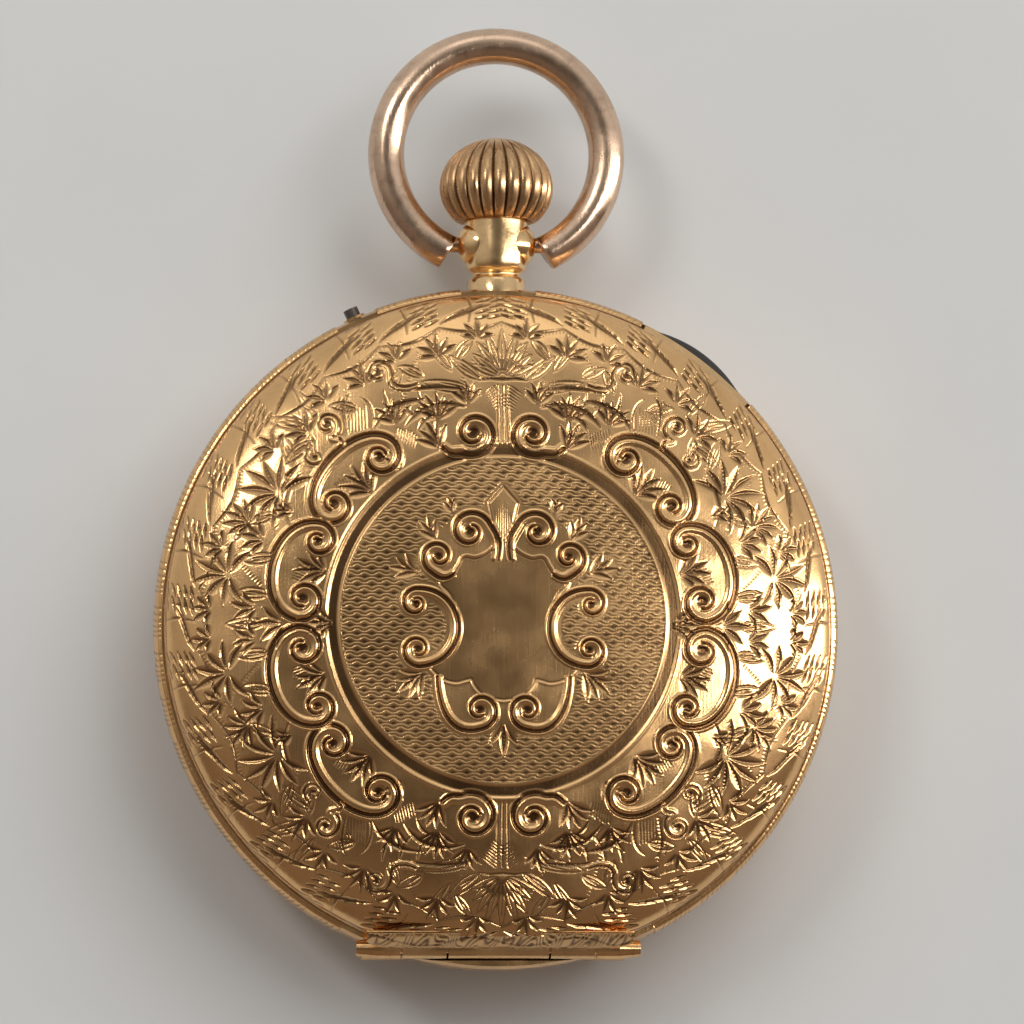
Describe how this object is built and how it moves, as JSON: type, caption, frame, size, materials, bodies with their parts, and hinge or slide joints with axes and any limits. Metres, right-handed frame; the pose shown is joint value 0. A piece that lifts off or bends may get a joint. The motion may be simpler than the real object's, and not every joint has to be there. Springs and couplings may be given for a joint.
{
  "type": "fob watch",
  "caption": "Small open-face fob watch in an engraved gold case with a hinged back, inner cover and bezel, a ball crown inside a swinging bow, and a wound bar movement.",
  "frame": {"origin": "centre of the crystal's flat outer face, on which the watch lies", "axes": "+Z from the crystal to the engraved back, +Y from the case centre to the pendant and bow, +X to the right when looking at the back"},
  "size_m": [0.033, 0.046, 0.0098],
  "materials": {
    "gold_case": "polished yellow gold",
    "gold_engraved": "polished engraved yellow gold",
    "gold_inner": "satin yellow gold",
    "rose_gold": "polished rose gold",
    "crown_gold": "worn yellow gold",
    "crystal_glass": "clear bevelled glass",
    "enamel": "glossy white enamel",
    "blued_steel": "blued steel",
    "gilt_plates": "gilt, fine grained",
    "brass_wheels": "polished brass",
    "ruby": "polished ruby",
    "dark_steel": "dark worn steel",
    "polished_steel": "polished steel"
  },
  "bodies": {
    "case": {"case_middle": "gold_case", "pendant": "gold_case", "back_hinge_pin": "gold_inner", "bezel_hinge_pin": "gold_inner", "push_piece_guard": "gold_case", "case_screws": "blued_steel", "dial": "enamel", "dial_side_studs": "polished_steel", "main_plate": "gilt_plates", "barrel_bridge": "gilt_plates", "centre_bridge": "gilt_plates", "third_bridge": "gilt_plates", "fourth_bridge": "gilt_plates", "escape_cock": "gilt_plates", "pallet_bridge": "gilt_plates", "balance_cock": "gilt_plates", "end_stone_cap": "ruby", "crown_wheel_cock": "gilt_plates", "click_spring": "blued_steel", "lever_spring": "blued_steel", "bridge_screws": "blued_steel", "jewels": "ruby"},
    "back": {"back_cover": "gold_engraved"},
    "inner_cover": {"cuvette": "gold_inner"},
    "front": {"bezel": "gold_case", "crystal": "crystal_glass"},
    "bow": {"bow": "rose_gold"},
    "stem": {"crown": "crown_gold", "winding_stem": "polished_steel", "winding_pinion": "polished_steel"},
    "clutch": {"clutch": "polished_steel"},
    "crown_wheel": {"crown_wheel": "polished_steel", "crown_wheel_screw": "blued_steel"},
    "ratchet": {"ratchet_wheel": "polished_steel", "ratchet_screw": "blued_steel", "barrel_arbor": "polished_steel"},
    "click": {"click": "polished_steel"},
    "pusher": {"push_piece": "dark_steel"},
    "lever": {"setting_lever": "polished_steel"},
    "barrel": {"barrel": "brass_wheels", "barrel_cover": "brass_wheels", "mainspring": "blued_steel"},
    "centre": {"centre_wheel": "brass_wheels", "cannon_pinion": "polished_steel", "minute_hand": "blued_steel"},
    "third": {"third_wheel": "brass_wheels"},
    "fourth": {"fourth_wheel": "brass_wheels"},
    "escape": {"escape_wheel": "polished_steel"},
    "minute_wheel": {"minute_wheel": "brass_wheels"},
    "hour": {"hour_wheel": "brass_wheels", "hour_hand": "blued_steel"},
    "setting_wheel": {"setting_wheel": "polished_steel"},
    "pallets": {"pallet_lever": "polished_steel"},
    "balance": {"balance_wheel": "brass_wheels", "balance_staff": "polished_steel", "hairspring": "blued_steel"},
    "regulator": {"regulator": "polished_steel"}
  },
  "joints": [
    {"name": "back_hinge", "type": "hinge", "parent": "case", "child": "back", "pos_m": [0, -0.01545, 0.0065], "axis": [1, 0, 0], "range_deg": [0, 95]},
    {"name": "inner_cover_hinge", "type": "hinge", "parent": "case", "child": "inner_cover", "pos_m": [0, -0.01545, 0.0065], "axis": [1, 0, 0], "range_deg": [0, 85]},
    {"name": "front_hinge", "type": "hinge", "parent": "case", "child": "front", "pos_m": [0, -0.01545, 0.00275], "axis": [-1, 0, 0], "range_deg": [0, 90]},
    {"name": "bow_hinge", "type": "hinge", "parent": "case", "child": "bow", "pos_m": [0, 0.01875, 0.005], "axis": [1, 0, 0], "range_deg": [-85, 85]},
    {"name": "winding", "type": "hinge", "parent": "case", "child": "stem", "pos_m": [0, 0.021, 0.005], "axis": [0, 1, 0], "continuous": true},
    {"name": "crown_wheel_spin", "type": "hinge", "parent": "case", "child": "crown_wheel", "pos_m": [0, 0.0086, 0.007], "axis": [0, 0, 1], "continuous": true},
    {"name": "ratchet_spin", "type": "hinge", "parent": "case", "child": "ratchet", "pos_m": [0.00455, 0.00382, 0.0065], "axis": [0, 0, 1], "continuous": true},
    {"name": "clutch_slide", "type": "slide", "parent": "stem", "child": "clutch", "axis": [0, -1, 0], "range_m": [0, 0.00095]},
    {"name": "hand_setting_push", "type": "slide", "parent": "case", "child": "pusher", "axis": [0.4179, -0.9085, 0], "range_m": [0, 0.0005], "stiffness_N_per_m": 8},
    {"name": "setting_lever_turn", "type": "hinge", "parent": "case", "child": "lever", "pos_m": [-0.0076, 0.0076, 0.0052], "axis": [0, 0, -1], "range_deg": [0, 9]},
    {"name": "click_lift", "type": "hinge", "parent": "case", "child": "click", "pos_m": [0.0103, 0.0026, 0.0076], "axis": [0, 0, -1], "range_deg": [0, 12], "stiffness_Nm_per_rad": 0.0000001},
    {"name": "hands", "type": "hinge", "parent": "case", "child": "centre", "pos_m": [0, 0, 0.006], "axis": [0, 0, -1], "continuous": true},
    {"name": "hour_spin", "type": "hinge", "parent": "case", "child": "hour", "pos_m": [0, 0, 0.003], "axis": [0, 0, -1], "continuous": true},
    {"name": "minute_wheel_spin", "type": "hinge", "parent": "case", "child": "minute_wheel", "pos_m": [0, 0.003, 0.0036], "axis": [0, 0, -1], "continuous": true},
    {"name": "setting_wheel_spin", "type": "hinge", "parent": "case", "child": "setting_wheel", "pos_m": [0, 0.00688, 0.0037], "axis": [0, 0, -1], "continuous": true},
    {"name": "barrel_spin", "type": "hinge", "parent": "case", "child": "barrel", "pos_m": [0.00455, 0.00382, 0.0055], "axis": [0, 0, -1], "continuous": true},
    {"name": "third_spin", "type": "hinge", "parent": "case", "child": "third", "pos_m": [0.00094, -0.0044, 0.0055], "axis": [0, 0, -1], "continuous": true},
    {"name": "fourth_spin", "type": "hinge", "parent": "case", "child": "fourth", "pos_m": [0.00285, -0.00771, 0.0055], "axis": [0, 0, -1], "continuous": true},
    {"name": "escape_spin", "type": "hinge", "parent": "case", "child": "escape", "pos_m": [-0.00019, -0.00825, 0.0055], "axis": [0, 0, -1], "continuous": true},
    {"name": "pallet_rock", "type": "hinge", "parent": "case", "child": "pallets", "pos_m": [-0.00241, -0.00765, 0.0055], "axis": [0, 0, 1], "range_deg": [-5, 5]},
    {"name": "balance_swing", "type": "hinge", "parent": "case", "child": "balance", "pos_m": [-0.00434, -0.00714, 0.0063], "axis": [0, 0, 1], "range_deg": [-150, 150], "stiffness_Nm_per_rad": 0.00000001, "deforming": ["hairspring"]},
    {"name": "regulator_turn", "type": "hinge", "parent": "case", "child": "regulator", "pos_m": [-0.00434, -0.00714, 0.0076], "axis": [0, 0, 1], "range_deg": [-15, 15]}
  ],
  "couplings": [
    {"joint": "inner_cover_hinge", "follows": "back_hinge", "ratio": 0.85},
    {"joint": "crown_wheel_spin", "follows": "winding", "ratio": -0.75},
    {"joint": "ratchet_spin", "follows": "winding", "ratio": 0.5},
    {"joint": "clutch_slide", "follows": "hand_setting_push", "ratio": 1.8},
    {"joint": "setting_lever_turn", "follows": "hand_setting_push", "rad_per_m": 268.1},
    {"joint": "hour_spin", "follows": "hands", "ratio": 0.083333},
    {"joint": "minute_wheel_spin", "follows": "hands", "ratio": -0.33333},
    {"joint": "setting_wheel_spin", "follows": "hands", "ratio": 0.46154},
    {"joint": "barrel_spin", "follows": "hands", "ratio": -0.13889},
    {"joint": "third_spin", "follows": "hands", "ratio": -8},
    {"joint": "fourth_spin", "follows": "hands", "ratio": 60},
    {"joint": "escape_spin", "follows": "hands", "ratio": -600}
  ]
}
